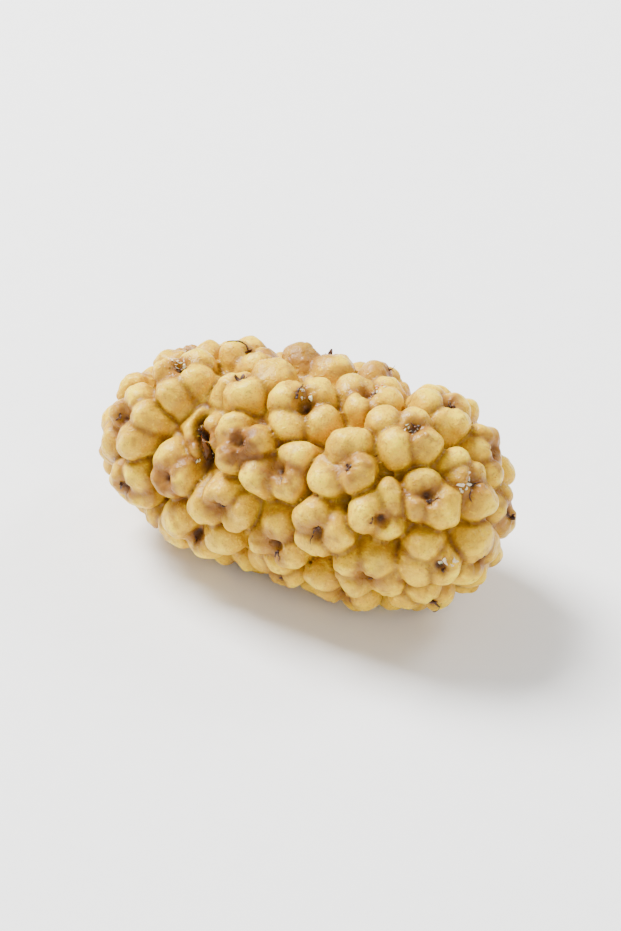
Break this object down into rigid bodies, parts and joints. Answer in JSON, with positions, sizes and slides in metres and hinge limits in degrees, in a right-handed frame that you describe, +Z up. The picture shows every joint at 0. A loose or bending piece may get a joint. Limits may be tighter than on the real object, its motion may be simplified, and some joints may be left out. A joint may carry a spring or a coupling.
{
  "type": "dried mulberry",
  "caption": "Dried white mulberry lying on its side: a long, blunt-tipped fruit of crowded wrinkled lobes grown on one core, with the short curved stalk it hung from.",
  "frame": {"origin": "On the surface the fruit rests on, under the middle of the box round fruit and stalk.", "axes": "+Z up from the surface; +X along the fruit from the stalk end to the blunt tip; the stalk's free end curves towards +Y."},
  "size_m": [0.0212, 0.0112, 0.0103],
  "materials": {
    "flesh": "dried fruit flesh, semi-gloss, pale honey to amber",
    "stalk": "dried fibrous stalk, matt straw brown"
  },
  "bodies": {
    "root": {"fruit": "flesh", "stalk": "stalk"}
  },
  "joints": []
}
